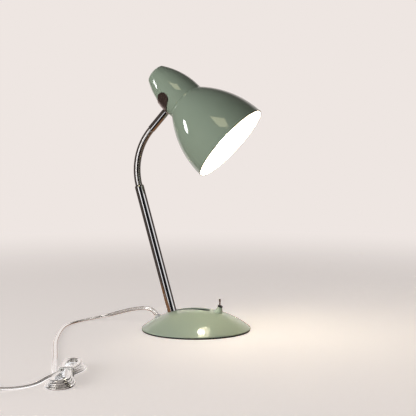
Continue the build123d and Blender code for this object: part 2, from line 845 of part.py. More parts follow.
shell_rear = holder_rear + holder_floor_t + gap
with BuildPart() as screw_shell:
    with BuildSketch(head_side):
        with BuildLine():
            Polyline(
                (shell_rear, shell_r),
                (holder_front - 3, shell_r),
                (holder_front - 3, shell_r - shell_t),
                (shell_rear + shell_t, shell_r - shell_t),
                (shell_rear + shell_t, nipple_r + 3.0),
                (shell_rear, nipple_r + 3.0),
                close=True,
            )
        make_face()
    revolve(axis=head_axis)
save(screw_shell, "screw_shell")

bulb_contact_t = 1.5
contact_seat = shell_rear - gap
contact_top = bulb_cap_rear - bulb_contact_t - gap
with BuildPart() as holder_contact:
    with BuildSketch(on_head(contact_seat)):
        Circle(nipple_r + 1.5)
    extrude(amount=1.2)
    with BuildSketch(on_head(contact_seat)):
        Circle(2.6)
    extrude(amount=contact_top - contact_seat)
save(holder_contact, "holder_contact")

ring_seat = flange_rear + shade_flange_t + gap
with BuildPart() as shade_ring:
    with BuildSketch(head_side):
        with BuildLine():
            Polyline(
                (ring_seat, skirt_r + gap),
                (ring_seat, ring_r),
                (ring_seat + ring_flange_t, ring_r),
                (ring_seat + ring_flange_t + ring_bevel, ring_collar_r),
                (ring_seat + ring_len, ring_collar_r),
                (ring_seat + ring_len, skirt_r + gap),
                close=True,
            )
        make_face()
    revolve(axis=head_axis)
save(shade_ring, "shade_ring")

# ---------------------------------------------------------------- head: bulb

bulb_neck_at = holder_front + 1.2
with BuildPart() as bulb_cap:
    with BuildSketch(head_side):
        with BuildLine():
            Polyline(
                (bulb_cap_rear, 3.2),
                (bulb_cap_rear, 6.0),
                (bulb_cap_rear + 3.5, bulb_cap_r),
                (bulb_neck_at, bulb_cap_r),
                (bulb_neck_at, bulb_neck_r + gap / 2),
                (bulb_cap_rear + 4.5, bulb_neck_r + gap / 2),
                (bulb_cap_rear + 1.2, 5.4),
                (bulb_cap_rear + 1.2, 3.2),
                close=True,
            )
        make_face()
    revolve(axis=head_axis)
save(bulb_cap, "bulb_cap")

with BuildPart() as bulb_contact:
    with BuildSketch(on_head(bulb_cap_rear - bulb_contact_t)):
        Circle(4.4)
    extrude(amount=bulb_contact_t - gap / 2)
    with BuildSketch(on_head(bulb_cap_rear - bulb_contact_t)):
        Circle(3.1)
    extrude(amount=bulb_contact_t + 1.0)
save(bulb_contact, "bulb_contact")

globe_centre = bulb_tip - bulb_r
globe_start = (globe_centre - 0.6 * bulb_r, 0.8 * bulb_r)
with BuildPart() as bulb_glass:
    with BuildSketch(head_side):
        with BuildLine():
            neck_start = (bulb_neck_at - 6, bulb_neck_r)
            neck_end = (bulb_neck_at + 0.4, bulb_neck_r)
            Line((neck_start[0], 0), neck_start)
            Line(neck_start, neck_end)
            neck_mid = (
                (neck_end[0] + globe_start[0]) / 2 + 0.6,
                (neck_end[1] + globe_start[1]) / 2 - 2.1,
            )
            ThreePointArc(neck_end, neck_mid, globe_start)
            ThreePointArc(globe_start, (globe_centre + 0.6 * bulb_r, 0.8 * bulb_r), (bulb_tip, 0))
            Line((bulb_tip, 0), (neck_start[0], 0))
        make_face()
    revolve(axis=head_axis)
    stem_face = bulb_glass.faces().filter_by(GeomType.PLANE).sort_by(SortBy.AREA)[-1]
    offset(amount=-bulb_glass_t, openings=stem_face)
save(bulb_glass, "bulb_glass")

# ---------------------------------------------------------------- wires inside base and head

core_r = 0.9


def core(points, bend_r):
    """A round insulated core along straight runs joined by arcs."""
    with BuildPart() as piece:
        with BuildLine() as route:
            FilletPolyline(*points, radius=bend_r)
        path = route.wires()[0]
        with BuildSketch(Plane(origin=path @ 0, z_dir=path % 0)):
            Circle(core_r)
        sweep(path=path)
    return piece.part


core_z = plate_top + weight_t + 1.8  # height of the cores over the weight
block_left = block_centre[0] - block_size[0] / 2
block_right = block_centre[0] + block_size[0] / 2
grommet_seat = on_dome(grommet_x)
core_start = grommet_seat.offset(-cord_inner_end - gap).origin
core_turn = grommet_seat.offset(-cord_inner_end - 5).origin
blade_foot = switch_seat.offset(switch_body_top - gap - switch_body_h - 2.6).origin
blade_pitch = 4.4
base_cores = []
for number, side in enumerate((-1, 1)):
    y = 1.1 * side
    block_y = block_centre[1] + 3.4 * side
    from_lead = [
        core_start + Vector(0, y, 0),
        core_turn + Vector(0, y, 0),
        (pocket_start + 4.8, -8.5 + y, core_turn.Z + 0.4),
        (pocket_start + 18.8, -bracket_room_w / 2 + 1.5 * y, core_z + 0.3),
        (block_left - 8, block_y, core_z),
        (block_left - gap, block_y, core_z),
    ]
    blade_x = blade_foot.X - blade_pitch * number
    to_switch = [
        (block_right + gap, block_y, core_z),
        (block_right + 8 - 2 * side, block_y, core_z),
        (blade_x, block_y + 8 + side, blade_foot.Z - 1),
        (blade_x, -1.2, blade_foot.Z),
    ]
    base_cores += [core(from_lead, 1.4), core(to_switch, 3.0)]
with BuildPart() as base_leads:
    add(base_cores)
save(base_leads, "base_leads")


def head_point(u, v, y):
    """Point from head coordinates: along the axis, above the axis, across."""
    return head_rear + axis_dir * u + up_dir * v + Vector(0, y, 0)


lead_rise = -(holder_r + lead_clear)  # height of the cores under the lampholder
holder_cores = []
for side in (-1, 1):
    route = [
        head_point(mount_at, -nipple_end - 6, 1.4 * side),
        head_point(mount_at, lead_rise, 1.4 * side),
        head_point(mount_at - 9, lead_rise + 0.5, 6.0 * side),
        head_point(holder_plate_at + 6, lead_rise + 0.2, 10.5 * side),
    ]
    holder_cores.append(core(route, 1.6))
with BuildPart() as holder_leads:
    add(holder_cores)
save(holder_leads, "holder_leads")

# ---------------------------------------------------------------- lead: grommet and route

with BuildPart() as cord_grommet:
    with BuildSketch(Plane(origin=grommet_seat.origin, x_dir=grommet_seat.x_dir, z_dir=(0, -1, 0))):
        with BuildLine():
            bore = cord_r + running
            Polyline(
                (bore, -dome_wall - lip_gap - grommet_inner_t),
                (grommet_inner_r, -dome_wall - lip_gap - grommet_inner_t),
                (grommet_inner_r, -dome_wall - lip_gap),
                (grommet_neck_r, -dome_wall - lip_gap),
                (grommet_neck_r, lip_gap),
                (grommet_flange_r, lip_gap),
                (grommet_flange_r - 0.4, 1.4),
                (grommet_snout_r, 1.7),
                (grommet_snout_r - 0.4, grommet_snout),
                (bore, grommet_snout),
                close=True,
            )
        make_face()
    revolve(axis=Axis(grommet_seat.origin, grommet_seat.z_dir))
save(cord_grommet, "cord_grommet")

floor_z = cord_r + 0.05
lead_route = [
    grommet_seat.offset(-cord_inner_end).origin,
    grommet_seat.offset(8.5).origin,
    (-75.4, 0.7, 28.3),
    (-90.0, 2.5, 27.0),
    (-106.0, 5.0, 23.6),
    (-123.0, 8.5, 18.6),
    (-141.0, 12.0, 12.9),
    (-159.0, 14.6, 8.0),
    (-176.0, 14.5, 4.2),
    (-188.0, 5.0, floor_z + 0.3),
    (-194.0, -12.0, floor_z),
    (-194.0, -36.0, floor_z),
    (-186.0, -68.0, floor_z),
    (-173.0, -105.0, floor_z),
    (-156.0, -150.0, floor_z),
    (-135.0, -195.0, floor_z),
    (-113.0, -240.0, floor_z),
    (-94.0, -283.0, floor_z),
    (-79.5, -315.0, floor_z),
    (-70.0, -332.5, floor_z + 0.6),
    (-56.7, -344.4, floor_z + 2.5),
]


def fillet_radii(points):
    """For each corner, 0.45 of the shorter run over the tangent of half the turn."""
    spots = [Vector(p) for p in points]
    radii = []
    for before, corner, after in zip(spots, spots[1:], spots[2:]):
        into = corner - before
        out = after - corner
        half_turn = radians(into.get_angle(out)) / 2
        radii.append(0.45 * min(into.length, out.length) / tan(half_turn))
    return radii


def cord_tube(points):
    """The lead along its route, and the length of its centreline."""
    with BuildPart() as tube:
        with BuildLine() as line:
            FilletPolyline(*points, radius=fillet_radii(points))
        path = line.wires()[0]
        with BuildSketch(Plane(origin=path @ 0, z_dir=path % 0)):
            Circle(cord_r)
        sweep()
    return tube, path.length


cord_lead, lead_len = cord_tube(lead_route)
save(cord_lead, "cord_lead")
print("lead radii", [round(r, 1) for r in fillet_radii(lead_route)])
volume_ratio = cord_lead.part.volume / (lead_len * pi * cord_r**2)
print("lead length", round(lead_len), "volume over section times length", round(volume_ratio, 4))

# ---------------------------------------------------------------- lead: hank, tie, tail and plug

hank_dir = Vector(cos(radians(hank_heading)), sin(radians(hank_heading)), 0)
hank_plan = Plane(origin=(hank_centre[0], hank_centre[1], tie_t + gap), x_dir=hank_dir, z_dir=(0, 0, 1))
lobe_len = hank_len * 0.4
with BuildPart() as cord_hank:
    with BuildSketch(hank_plan) as hank_outline:
        with GridLocations(hank_len - lobe_len, 1, 2, 1):
            Ellipse(lobe_len / 2, hank_lobe_w / 2)
        Rectangle(hank_len - 1.6 * lobe_len, hank_waist_w)
        waist_corners = hank_outline.vertices().filter_by(lambda v: abs(v.X) < hank_len * 0.3)
        fillet(waist_corners, hank_waist_fillet)
    extrude(amount=hank_h)
    fillet(cord_hank.faces().sort_by(Axis.Z)[-1].edges(), hank_edge_fillet)
    fillet(cord_hank.faces().sort_by(Axis.Z)[0].edges(), hank_edge_fillet)
save(cord_hank, "cord_hank")

tie_plane = Plane(origin=(hank_centre[0], hank_centre[1], 0), x_dir=(0, 0, 1), z_dir=hank_dir)
with BuildPart() as hank_tie:
    with BuildSketch(tie_plane):
        with Locations((tie_t + gap + hank_h / 2, 0)):
            tie_outer = (hank_h + 2 * (tie_t + gap), hank_waist_w + 2 * (tie_t + gap))
            RectangleRounded(*tie_outer, tie_corner + tie_t)
            tie_inner = (hank_h + 2 * gap, hank_waist_w + 2 * gap)
            RectangleRounded(*tie_inner, tie_corner, mode=Mode.SUBTRACT)
    extrude(amount=tie_w / 2, both=True)
save(hank_tie, "hank_tie")

tail_route = [
    (-52.7, -357.7, floor_z + 2.5),
    (-62.0, -372.0, floor_z + 0.5),
    (-64.5, -392.0, floor_z),
    (-72.0, -411.0, floor_z + 0.4),
    (-84.0, -430.0, floor_z + 1.6),
    (-97.0, -444.0, plug_h / 2 - 0.6),
    (-108.5, -453.0, plug_h / 2),
]
cord_tail, tail_len = cord_tube(tail_route)
save(cord_tail, "cord_tail")
print("tail radii", [round(r, 1) for r in fillet_radii(tail_route)], "length", round(tail_len))

plug_dir = (Vector(tail_route[-1]) - Vector(tail_route[-2])).normalized()
plug_rear = Vector(tail_route[-1])


def on_plug(s):
    """Plane across the plug at s from the cord's end, Z towards the pins."""
    return Plane(origin=plug_rear + plug_dir * s, x_dir=plug_dir.cross(Vector(0, 0, 1)), z_dir=plug_dir)


with BuildPart() as plug_body:
    with BuildSketch(on_plug(0)):
        RectangleRounded(plug_neck_w, plug_neck_h, plug_corner / 2)
    with BuildSketch(on_plug(plug_len * 0.35)):
        RectangleRounded(plug_waist_w, plug_waist_h, plug_corner * 2 / 3)
    with BuildSketch(on_plug(plug_len * 0.7)):
        RectangleRounded(plug_w, plug_h, plug_corner)
    loft()
    with BuildSketch(on_plug(plug_len * 0.7)):
        RectangleRounded(plug_w, plug_h, plug_corner)
    extrude(amount=plug_len * 0.3)
    with BuildSketch(on_plug(plug_len - pin_depth)):
        with GridLocations(pin_spacing, 1, 2, 1):
            Circle(pin_r + running)
    extrude(amount=pin_depth + 1, mode=Mode.SUBTRACT)
save(plug_body, "plug_body")

with BuildPart() as plug_pins:
    with BuildSketch(on_plug(plug_len - pin_depth + gap)):
        with GridLocations(pin_spacing, 1, 2, 1):
            Circle(pin_r)
    extrude(amount=pin_len + pin_depth - gap)
    fillet(plug_pins.faces().sort_by(Axis(plug_rear, plug_dir))[-2:].edges(), pin_end_fillet)
save(plug_pins, "plug_pins")
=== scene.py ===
# %% [markdown]
# # A gooseneck desk lamp
#
# This lesson dresses a desk lamp: an enamelled bell shade on a ribbed chrome neck, a chrome arm,
# a domed base with a toggle switch, and a clear flat lead tied into a hank.
# The construction model is loaded first. It holds every piece at its real size, and nothing here
# moves it. Blender adds the finish of each surface, the fine sheet-metal forms and the lead.

import math

import bpy
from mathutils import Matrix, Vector


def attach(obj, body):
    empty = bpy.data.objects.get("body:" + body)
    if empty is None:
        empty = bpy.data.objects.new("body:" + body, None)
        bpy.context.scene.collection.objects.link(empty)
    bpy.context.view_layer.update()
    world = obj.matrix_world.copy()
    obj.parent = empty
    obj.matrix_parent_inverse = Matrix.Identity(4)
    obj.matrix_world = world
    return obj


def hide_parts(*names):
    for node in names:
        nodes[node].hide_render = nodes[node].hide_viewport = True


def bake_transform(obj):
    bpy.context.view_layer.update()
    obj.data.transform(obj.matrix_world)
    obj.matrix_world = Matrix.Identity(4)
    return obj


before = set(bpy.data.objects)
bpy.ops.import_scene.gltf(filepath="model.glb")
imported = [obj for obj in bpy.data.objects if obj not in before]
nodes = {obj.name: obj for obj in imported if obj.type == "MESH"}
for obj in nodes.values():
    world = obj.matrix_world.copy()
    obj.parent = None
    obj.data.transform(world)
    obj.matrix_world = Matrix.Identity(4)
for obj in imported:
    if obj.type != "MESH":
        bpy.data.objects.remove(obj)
bpy.context.view_layer.update()
print("pieces in the model:", len(nodes))

# %% [markdown]
# ## The camera
#
# A long lens stands about 1.7 m away and looks slightly down. A long lens keeps the shade and the
# base in proportion, as a product picture does. Its place and direction are in the lamp's own
# frame, where +X is the way the shade faces and +Z is up.

# %% Camera
MM = 0.001
camera_place = Vector((530.0, -1585.0, 310.0)) * MM
camera_aim = Vector((-0.3063, 0.9487, -0.0780))
LENS = 99.5
SENSOR_WIDTH = 36.0
camera_data = bpy.data.cameras.new("camera")
camera_data.lens = LENS
camera_data.sensor_width = SENSOR_WIDTH
camera = bpy.data.objects.new("camera", camera_data)
camera.location = camera_place
camera.rotation_mode = "QUATERNION"
camera.rotation_quaternion = camera_aim.to_track_quat("-Z", "Y")
bpy.context.collection.objects.link(camera)
bpy.context.scene.camera = camera
bpy.context.scene.view_settings.view_transform = "Standard"
print("camera lens", camera_data.lens, "mm")

# %% [markdown]
# ## Small helpers
#
# Every finish below is a node tree round one Principled shader. These helpers keep each finish
# short: one makes the material and returns its shader, one adds a node with its settings and
# inputs, and one mixes two colours. No real surface is perfectly even, so one more adds noise
# and turns it into a value between two limits, and another turns a height into a bump.

# %% Helpers for finishes
def finish(name, color, **sockets):
    """A new material with one Principled shader, and its node tree."""
    material = bpy.data.materials.new(name)
    material.use_nodes = True
    shader = material.node_tree.nodes["Principled BSDF"]
    shader.inputs["Base Color"].default_value = (*color, 1)
    for socket, value in sockets.items():
        shader.inputs[socket.replace("_", " ")].default_value = value
    return material, material.node_tree, shader


def set_or_link(tree, socket, value):
    """Gives an input its value, or links it when the value is another node's output."""
    if isinstance(value, bpy.types.NodeSocket):
        tree.links.new(value, socket)
    else:
        socket.default_value = value


def add_node(tree, kind, settings=None, **inputs):
    """A node with its settings and its inputs' values or links."""
    node = tree.nodes.new(kind)
    for key, value in (settings or {}).items():
        setattr(node, key, value)
    for key, value in inputs.items():
        set_or_link(tree, node.inputs[key.replace("_", " ")], value)
    return node


def mixed_color(tree, factor, first, second):
    """One colour from two by a factor; each may be another node's output."""
    mix = add_node(tree, "ShaderNodeMix", {"data_type": "RGBA"}, Factor=factor)
    for key, color in (("A", first), ("B", second)):
        fixed = not isinstance(color, bpy.types.NodeSocket)
        set_or_link(tree, mix.inputs[key], (*color, 1) if fixed else color)
    return mix.outputs["Result"]


# nearly all of Blender's noise lies between these two values
NOISE_LOW = 0.3
NOISE_HIGH = 0.7


def noise_between(tree, scale, low, high, detail=3.0, stretch=(1, 1, 1)):
    """Noise in the lamp's own space, spread between two values."""
    place = add_node(tree, "ShaderNodeTexCoord")
    mapping = add_node(tree, "ShaderNodeMapping", Vector=place.outputs["Object"], Scale=stretch)
    noise = add_node(
        tree, "ShaderNodeTexNoise", Vector=mapping.outputs["Vector"], Scale=scale, Detail=detail
    )
    spread = add_node(tree, "ShaderNodeMapRange", Value=noise.outputs["Fac"])
    spread.inputs["From Min"].default_value = NOISE_LOW
    spread.inputs["From Max"].default_value = NOISE_HIGH
    spread.inputs["To Min"].default_value = low
    spread.inputs["To Max"].default_value = high
    return spread.outputs["Result"]


def bump_from(tree, shader, height, distance, strength=1.0):
    """Turns a height into a bump on the shader."""
    bump = add_node(
        tree, "ShaderNodeBump", Height=height, Distance=distance, Strength=strength
    )
    tree.links.new(bump.outputs["Normal"], shader.inputs["Normal"])


def wear(node_names, material):
    """Gives carried-over pieces a finish."""
    for name in node_names:
        for slot in nodes[name].material_slots:
            slot.material = material


print("helpers for finishes are ready")

# %% [markdown]
# ## The lead
#
# The lead is a flat twin: two stranded cores side by side in clear plastic. It leaves the back of
# the base, arches over to the table, and is folded into a hank of four turns with a tie round its
# waist, from which a short tail runs to the plug. A real lead is one length of wire, so it is one
# smooth spline here too. The route is a list of given points, and the hank is worked out turn
# by turn as more points of the same spline. A curve's own bevel can twist, so the section is swept
# along the line by a function here, which keeps a flat lead on its flat side.

# %% The lead's route
CORD_THICK = 2.5 * MM
FLOOR_LEVEL = 1.35
lead_route = [
    (-58.1, 0.0, 13.0),
    (-63.98, 0.0, 23.98),
    (-75.4, 0.7, 28.3),
    (-90.0, 2.5, 27.0),
    (-106.0, 5.0, 23.6),
    (-123.0, 8.5, 18.6),
    (-141.0, 12.0, 12.9),
    (-159.0, 14.6, 8.0),
    (-176.0, 14.5, 4.0),
    (-188.0, 5.0, FLOOR_LEVEL + 0.6),
    (-194.0, -12.0, FLOOR_LEVEL),
    (-194.0, -36.0, FLOOR_LEVEL),
    (-186.0, -68.0, FLOOR_LEVEL),
    (-173.0, -105.0, FLOOR_LEVEL),
    (-156.0, -150.0, FLOOR_LEVEL),
    (-135.0, -195.0, FLOOR_LEVEL),
    (-113.0, -240.0, FLOOR_LEVEL),
    (-94.0, -283.0, FLOOR_LEVEL),
    (-79.5, -315.0, FLOOR_LEVEL),
    (-70.0, -332.5, FLOOR_LEVEL + 0.2),
    (-56.6, -342.3, 1.8),
]
tail_route = [
    (-53.4, -360.0, 8.2),
    (-62.0, -372.0, 4.6),
    (-64.5, -392.0, FLOOR_LEVEL + 0.3),
    (-72.0, -411.0, FLOOR_LEVEL + 0.2),
    (-84.0, -430.0, FLOOR_LEVEL + 1.8),
    (-97.0, -444.0, 6.2),
    (-108.5, -453.0, 6.8),
]

# %% The hank's turns
HANK_CENTRE = Vector((-47.0, -349.0, 0.0))
HANK_AIM = math.radians(-75)
hank_along = Vector((math.cos(HANK_AIM), math.sin(HANK_AIM), 0))
hank_across = Vector((-hank_along.y, hank_along.x, 0))
HANK_TURNS = 4
WAIST_HALF = 3.4
LAYER_RISE = 2.45
BOTTOM_LAYER = 2.35
LOBE_DROOP = 1.0
LOBE_STEPS = 12
LAST_DROP = 1.2
# each lobe of each turn: its reach from the tie and its half width
near_lobes = [(63.0, 12.6), (60.5, 10.2), (62.0, 8.2), (57.0, 6.6)]
far_lobes = [(64.0, 12.8), (61.0, 9.8), (58.5, 7.8), (62.0, 6.4)]


def hank_point(along, across, height):
    """A point of the hank, from its own directions to the lamp's frame."""
    return HANK_CENTRE + hank_along * along + hank_across * across + Vector((0, 0, height))


hank_route = []
for turn in range(HANK_TURNS):
    for half, (reach, bulge) in enumerate((near_lobes[turn], far_lobes[turn])):
        way = 1 if half == 0 else -1
        for step in range(LOBE_STEPS):
            t = step / LOBE_STEPS
            along = way * reach * math.sin(math.pi * t)
            across = -way * (WAIST_HALF * math.cos(math.pi * t) + bulge * math.sin(2 * math.pi * t))
            height = BOTTOM_LAYER + LAYER_RISE * (turn + 0.5 * half + 0.5 * t)
            height -= LOBE_DROOP * math.sin(math.pi * t)
            hank_route.append(tuple(hank_point(along, across, height)))
top_layer = BOTTOM_LAYER + LAYER_RISE * HANK_TURNS - LAST_DROP
hank_route.append(tuple(hank_point(0, -WAIST_HALF, top_layer)))
print("route points", len(lead_route), "+", len(hank_route), "+", len(tail_route))

# %% One spline, read back as a fine line
route = lead_route + hank_route + tail_route
spline_data = bpy.data.curves.new("cord_line", "CURVE")
spline_data.dimensions = "3D"
spline_data.resolution_u = 8
spline = spline_data.splines.new("NURBS")
spline.points.add(len(route) - 1)
for point, spot in zip(spline.points, route):
    point.co = (*(Vector(spot) * MM), 1)
spline.order_u = 3
spline.use_endpoint_u = True
line_object = bpy.data.objects.new("cord_line", spline_data)
bpy.context.collection.objects.link(line_object)
bpy.context.view_layer.update()
line_mesh = bpy.data.meshes.new_from_object(line_object)
cord_line = [vertex.co.copy() for vertex in line_mesh.vertices]
bpy.data.objects.remove(line_object)

# %% [markdown]
# The flat section needs a direction as well as a centre. Along the arch the lead stands nearly on
# edge, as its bush holds it, and it turns over onto its flat side before it meets the table. Each
# ring of the sweep is therefore turned by an angle that falls from almost upright to flat.

# %% Sweeping the flat lead
CORE_APART = 1.35 * MM
SLEEVE_R = CORD_THICK / 2
STRAND_R = 0.95 * MM
# each core's sleeve shows as this many degrees of a circle to either side
SLEEVE_HALF_ARC = 150
SLEEVE_STEPS = 8
EDGEWAYS = math.radians(84)
TURN_START = 0.075
TURN_END = 0.150
CLEAR = 0
STRANDS = 1


def ring_directions(line, index, angle):
    """The width and thickness directions of the lead at one point of its line."""
    ahead = line[min(index + 1, len(line) - 1)] - line[max(index - 1, 0)]
    ahead.normalize()
    level = ahead.cross(Vector((0, 0, 1))).normalized()
    raised = level.cross(ahead)
    width = level * math.cos(angle) + raised * math.sin(angle)
    return width, width.cross(ahead)


def twin_outline():
    """The figure of eight of two sleeves side by side, as (width, thickness) pairs."""
    outline = []
    for side in (1, -1):
        for step in range(SLEEVE_STEPS + 1):
            share = 2 * SLEEVE_HALF_ARC * step / SLEEVE_STEPS
            turn = math.radians(share - SLEEVE_HALF_ARC)
            outline.append((
                side * (CORE_APART + SLEEVE_R * math.cos(turn)),
                side * SLEEVE_R * math.sin(turn),
            ))
    return outline


def round_outline(shift, radius, sides=8):
    """A round section beside the middle of the lead."""
    angles = [math.tau * step / sides for step in range(sides)]
    return [(shift + radius * math.cos(a), radius * math.sin(a)) for a in angles]


def sweep(line, outline_at, angle_at):
    """Vertices and faces of a closed tube whose outline and angle may change along the line."""
    points, faces = [], []
    travelled = 0.0
    for index, centre in enumerate(line):
        if index:
            travelled += (centre - line[index - 1]).length
        outline = outline_at(travelled)
        width, thick = ring_directions(line, index, angle_at(travelled))
        points += [centre + width * w + thick * h for w, h in outline]
        count = len(outline)
        if index:
            here, before = index * count, (index - 1) * count
            for k in range(count):
                nxt = (k + 1) % count
                faces.append((before + k, before + nxt, here + nxt, here + k))
    faces.append(tuple(range(count))[::-1])
    faces.append(tuple(range(len(points) - count, len(points))))
    return points, faces


def edge_angle(travelled):
    """Almost upright over the arch, then flat."""
    t = (travelled - TURN_START) / (TURN_END - TURN_START)
    t = min(max(t, 0.0), 1.0)
    return EDGEWAYS * (1 - t * t * (3 - 2 * t))


def make_mesh(name, shells, sharp_over=40):
    """One object from several shells, each given as (vertices, faces, material number)."""
    points, faces, numbers = [], [], []
    for shell_points, shell_faces, number in shells:
        start = len(points)
        points += shell_points
        faces += [tuple(start + k for k in face) for face in shell_faces]
        numbers += [number] * len(shell_faces)
    mesh = bpy.data.meshes.new(name)
    mesh.from_pydata([tuple(p) for p in points], [], faces)
    mesh.polygons.foreach_set("material_index", numbers)
    mesh.shade_smooth()
    mesh.set_sharp_from_angle(angle=math.radians(sharp_over))
    mesh.update()
    piece = bpy.data.objects.new(name, mesh)
    bpy.context.collection.objects.link(piece)
    return piece


twin = twin_outline()
shells = [(*sweep(cord_line, lambda d: twin, edge_angle), CLEAR)]
for side in (1, -1):
    core = round_outline(side * CORE_APART, STRAND_R)
    shells.append((*sweep(cord_line, lambda d, core=core: core, edge_angle), STRANDS))
lead = make_mesh("flat_lead", shells)
print("lead faces", len(lead.data.polygons))

# %% [markdown]
# Where the lead leaves the base, a clear tapered sleeve stops it from bending sharply. Four shallow
# grooves round it let it flex. It is swept along 22 mm of the same line, from just outside the dome,
# so it sits on the lead exactly. Its outline changes on the way: it narrows, and each groove dips.

# %% The strain relief
RELIEF_START = 0.0072
RELIEF_LENGTH = 0.022
GROOVES = 4
GROOVE_DEPTH = 0.25 * MM
RELIEF_HALF_WIDTH = 3.55
WIDTH_TAPER = 0.65
RELIEF_HALF_THICK = 3.0
THICK_TAPER = 1.35
RELIEF_SIDES = 24
RELIEF_FINER = 4


def relief_outline(travelled):
    """An oval that tapers towards the lead, with shallow grooves."""
    t = min(max((travelled - RELIEF_START) / RELIEF_LENGTH, 0.0), 1.0)
    groove = GROOVE_DEPTH * max(0.0, math.sin(t * GROOVES * math.tau)) ** 2
    half_width = (RELIEF_HALF_WIDTH - WIDTH_TAPER * t) * MM - groove
    half_thick = (RELIEF_HALF_THICK - THICK_TAPER * t) * MM - groove
    angles = [math.tau * step / RELIEF_SIDES for step in range(RELIEF_SIDES)]
    return [(half_width * math.cos(a), half_thick * math.sin(a)) for a in angles]


relief_line = []
travelled = 0.0
for before, after in zip(cord_line, cord_line[1:]):
    for step in range(RELIEF_FINER):
        spot = before.lerp(after, step / RELIEF_FINER)
        along = travelled + (spot - before).length
        if RELIEF_START <= along <= RELIEF_START + RELIEF_LENGTH:
            relief_line.append(spot)
    travelled += (after - before).length
relief = make_mesh(
    "strain_relief",
    [(*sweep(relief_line, lambda d: relief_outline(d + RELIEF_START), edge_angle), CLEAR)],
)
print("strain relief points", len(relief_line))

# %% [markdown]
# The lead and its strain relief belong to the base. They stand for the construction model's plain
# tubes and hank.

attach(lead, "base")
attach(relief, "base")
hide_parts("cord_lead", "cord_hank", "cord_tail")

# %% [markdown]
# ## The shade
#
# The real shade is spun from thin steel, enamelled sage green outside and white inside, with its
# rim turned over a wire. A lathe is the natural way to model it: the outline is drawn once, as
# distances along the head's axis and away from it, and turned round that axis. The inside gets a
# material of its own, as a solid in the construction model has only one. The outer half of the
# turned edge is coloured dark brown all round, which is painted shade for the edge's shadow side.

# %% The head's own directions
HEAD_TILT = math.radians(41.44)
head_rear = Vector((-63.0907, 0.0, 375.7995)) * MM
head_axis = Vector((math.cos(HEAD_TILT), 0, -math.sin(HEAD_TILT)))
head_up = Vector((math.sin(HEAD_TILT), 0, math.cos(HEAD_TILT)))
head_side = Vector((0, 1, 0))
print("the head's axis points", [round(c, 3) for c in head_axis])


def turned(outline, sides, origin=head_rear, axis=head_axis, up=head_up, side=head_side):
    """A closed outline of (along, radius) pairs in mm, turned round an axis."""
    points, faces = [], []
    count = len(outline)
    for k in range(sides):
        a = math.tau * k / sides
        out = up * math.cos(a) + side * math.sin(a)
        points += [origin + (axis * along + out * radius) * MM for along, radius in outline]
        nxt = ((k + 1) % sides) * count
        for j in range(count):
            j2 = (j + 1) % count
            faces.append((k * count + j, k * count + j2, nxt + j2, nxt + j))
    return points, faces


def arc(centre, radius, start, end, steps):
    """Points on an arc between two angles in degrees, ends included."""
    angles = [math.radians(start + (end - start) * k / steps) for k in range(steps + 1)]
    return [(centre[0] + radius * math.cos(a), centre[1] + radius * math.sin(a)) for a in angles]


# %% The shade's outline and mesh
SEAM = 62.15
NECK_R = 30.2
HOLDER_HOLE_R = 20.3
SHEET = 1.2
BELL_CENTRE = (155.584, -78.024)
BELL_R = 141.131
CREASE_R = 4.0
MOUTH = 154.2
BEAD_R = 0.8
BEAD_SET_BACK = 0.3
BEAD_HALF_ARC = 110
# how the seam's edge rounds off: how far along, and how far below the bell's neck
SEAM_ROUNDING = [(0.0, 0.15), (0.05, 0.04), (0.2, 0.0)]
INNER_START = 1.2
CREASE_STEPS = 6
OUTER_STEPS = 60
BEAD_STEPS = 14
INNER_STEPS = 48
SHADE_SIDES = 192
OUTSIDE = 0
INSIDE = 1
PAINTED_SHADE_EDGE = 2
BACK_FACES = 2

crease_at = BELL_CENTRE[0] - math.sqrt(
    (BELL_R + CREASE_R) ** 2 - (NECK_R + CREASE_R - BELL_CENTRE[1]) ** 2
)
bell_start = math.degrees(
    math.atan2(NECK_R + CREASE_R - BELL_CENTRE[1], crease_at - BELL_CENTRE[0])
)
bell_end = math.degrees(math.acos((MOUTH - BELL_CENTRE[0]) / BELL_R))
outer_line = [(SEAM + along, NECK_R - below) for along, below in SEAM_ROUNDING]
outer_line += arc((crease_at, NECK_R + CREASE_R), CREASE_R, -90, bell_start - 180, CREASE_STEPS)
outer_line += arc(BELL_CENTRE, BELL_R, bell_start, bell_end, OUTER_STEPS)[1:]
bead_centre = (MOUTH - BEAD_SET_BACK, outer_line[-1][1] - SHEET / 2)
bead_line = arc(bead_centre, BEAD_R, BEAD_HALF_ARC, -BEAD_HALF_ARC, BEAD_STEPS)
inner_line = arc(BELL_CENTRE, BELL_R - SHEET, bell_end, bell_start + INNER_START, INNER_STEPS)
inner_line += [(SEAM + 2 * SHEET, NECK_R - SHEET), (SEAM + SHEET, NECK_R - 2 * SHEET)]
inner_line += [(SEAM + SHEET, HOLDER_HOLE_R), (SEAM, HOLDER_HOLE_R)]
shade_outline = outer_line + bead_line + inner_line
shade_points, shade_faces = turned(shade_outline, SHADE_SIDES)
rim_from = len(outer_line) - 1
white_from = len(outer_line) + len(bead_line) // 2
shade = make_mesh("bell_shade", [(shade_points, shade_faces, OUTSIDE)], sharp_over=50)
# the last faces of the outline, at the back round the lampholder, stay green
for polygon in shade.data.polygons:
    station = polygon.index % len(shade_outline)
    if white_from <= station < len(shade_outline) - BACK_FACES:
        polygon.material_index = INSIDE
    elif rim_from <= station < white_from:
        # the outer half of the turned edge takes the dark brown painted shade
        polygon.material_index = PAINTED_SHADE_EDGE
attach(shade, "head")
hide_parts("shade")
print("shade outline points", len(shade_outline))
